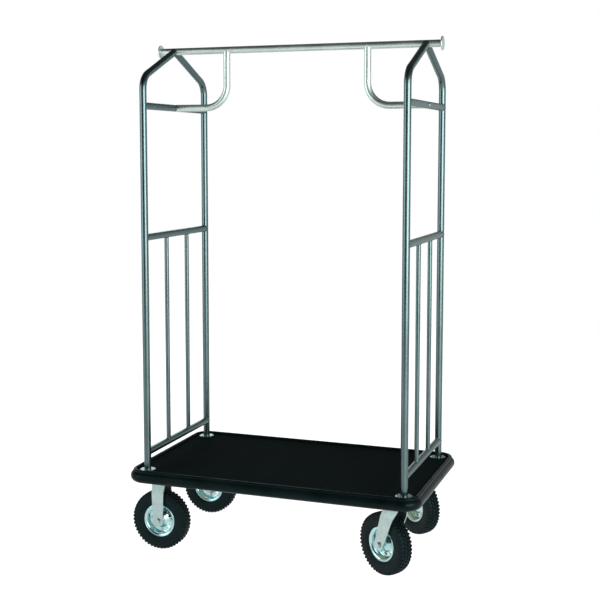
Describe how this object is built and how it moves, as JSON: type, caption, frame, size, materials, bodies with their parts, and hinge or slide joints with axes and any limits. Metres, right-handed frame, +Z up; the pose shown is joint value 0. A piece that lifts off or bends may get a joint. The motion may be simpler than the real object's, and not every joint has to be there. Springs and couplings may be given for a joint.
{
  "type": "hotel luggage cart",
  "caption": "Hotel luggage cart: carpeted deck with a wraparound bumper on pneumatic casters, end frames of bent tube, and a hanging bar on curved braces.",
  "frame": {"origin": "point on the floor under the middle of the deck", "axes": "+Z up; +X along the cart, towards the swivel casters; -Y is the front long side"},
  "size_m": [1.091, 0.6517, 1.8405],
  "materials": {
    "gunmetal_tube": "polished gunmetal plating",
    "stainless_tube": "satin stainless",
    "zinc": "bright zinc plating",
    "plain_steel": "plain bright steel",
    "bumper_vinyl": "soft vinyl, slightly shiny",
    "carpet": "short dense carpet",
    "plywood": "sealed plywood",
    "tyre_rubber": "moulded rubber",
    "tube_rubber": "smooth butyl rubber"
  },
  "bodies": {
    "cart": {"deck_board": "plywood", "deck_carpet": "carpet", "bumper": "bumper_vinyl", "left_front_upright": "gunmetal_tube", "left_back_upright": "gunmetal_tube", "right_front_upright": "gunmetal_tube", "right_back_upright": "gunmetal_tube", "left_low_crossbar": "gunmetal_tube", "left_mid_crossbar": "gunmetal_tube", "left_top_crossbar": "gunmetal_tube", "right_low_crossbar": "gunmetal_tube", "right_mid_crossbar": "gunmetal_tube", "right_top_crossbar": "gunmetal_tube", "rungs": "gunmetal_tube", "hang_bar": "stainless_tube", "bar_caps": "stainless_tube", "left_brace": "stainless_tube", "right_brace": "stainless_tube", "brace_screws": "plain_steel", "upright_flanges": "zinc", "upright_plugs": "plain_steel", "upright_bolts": "zinc", "caster_bolts": "zinc", "caster_nuts": "zinc", "rigid_front_fork": "zinc", "rigid_back_fork": "zinc", "swivel_plates": "zinc", "kingpins": "plain_steel", "rigid_axles": "zinc", "rigid_axle_nuts": "zinc"},
    "swivel_front": {"swivel_front_fork": "zinc", "swivel_front_balls": "plain_steel", "swivel_front_axle": "zinc"},
    "swivel_back": {"swivel_back_fork": "zinc", "swivel_back_balls": "plain_steel", "swivel_back_axle": "zinc"},
    "rigid_front_wheel": {"rigid_front_tyre": "tyre_rubber", "rigid_front_tube": "tube_rubber", "rigid_front_rim_outer": "zinc", "rigid_front_rim_inner": "zinc", "rigid_front_rim_bolts": "plain_steel", "rigid_front_bearings": "plain_steel"},
    "rigid_back_wheel": {"rigid_back_tyre": "tyre_rubber", "rigid_back_tube": "tube_rubber", "rigid_back_rim_outer": "zinc", "rigid_back_rim_inner": "zinc", "rigid_back_rim_bolts": "plain_steel", "rigid_back_bearings": "plain_steel"},
    "swivel_front_wheel": {"swivel_front_tyre": "tyre_rubber", "swivel_front_tube": "tube_rubber", "swivel_front_rim_outer": "zinc", "swivel_front_rim_inner": "zinc", "swivel_front_rim_bolts": "plain_steel", "swivel_front_bearings": "plain_steel"},
    "swivel_back_wheel": {"swivel_back_tyre": "tyre_rubber", "swivel_back_tube": "tube_rubber", "swivel_back_rim_outer": "zinc", "swivel_back_rim_inner": "zinc", "swivel_back_rim_bolts": "plain_steel", "swivel_back_bearings": "plain_steel"}
  },
  "joints": [
    {"name": "swivel_front_turn", "type": "hinge", "parent": "cart", "child": "swivel_front", "pos_m": [0.4425, -0.2185, 0.258], "axis": [0, 0, 1], "continuous": true},
    {"name": "swivel_back_turn", "type": "hinge", "parent": "cart", "child": "swivel_back", "pos_m": [0.4425, 0.2185, 0.258], "axis": [0, 0, 1], "continuous": true},
    {"name": "rigid_front_roll", "type": "hinge", "parent": "cart", "child": "rigid_front_wheel", "pos_m": [-0.4425, -0.2185, 0.1085], "axis": [0, 1, 0], "continuous": true},
    {"name": "rigid_back_roll", "type": "hinge", "parent": "cart", "child": "rigid_back_wheel", "pos_m": [-0.4425, 0.2185, 0.1085], "axis": [0, 1, 0], "continuous": true},
    {"name": "swivel_front_roll", "type": "hinge", "parent": "swivel_front", "child": "swivel_front_wheel", "pos_m": [0.39793, -0.19172, 0.1085], "axis": [0.515, 0.8572, 0], "continuous": true},
    {"name": "swivel_back_roll", "type": "hinge", "parent": "swivel_back", "child": "swivel_back_wheel", "pos_m": [0.40152, 0.25051, 0.1085], "axis": [0.6157, 0.788, 0], "continuous": true}
  ]
}
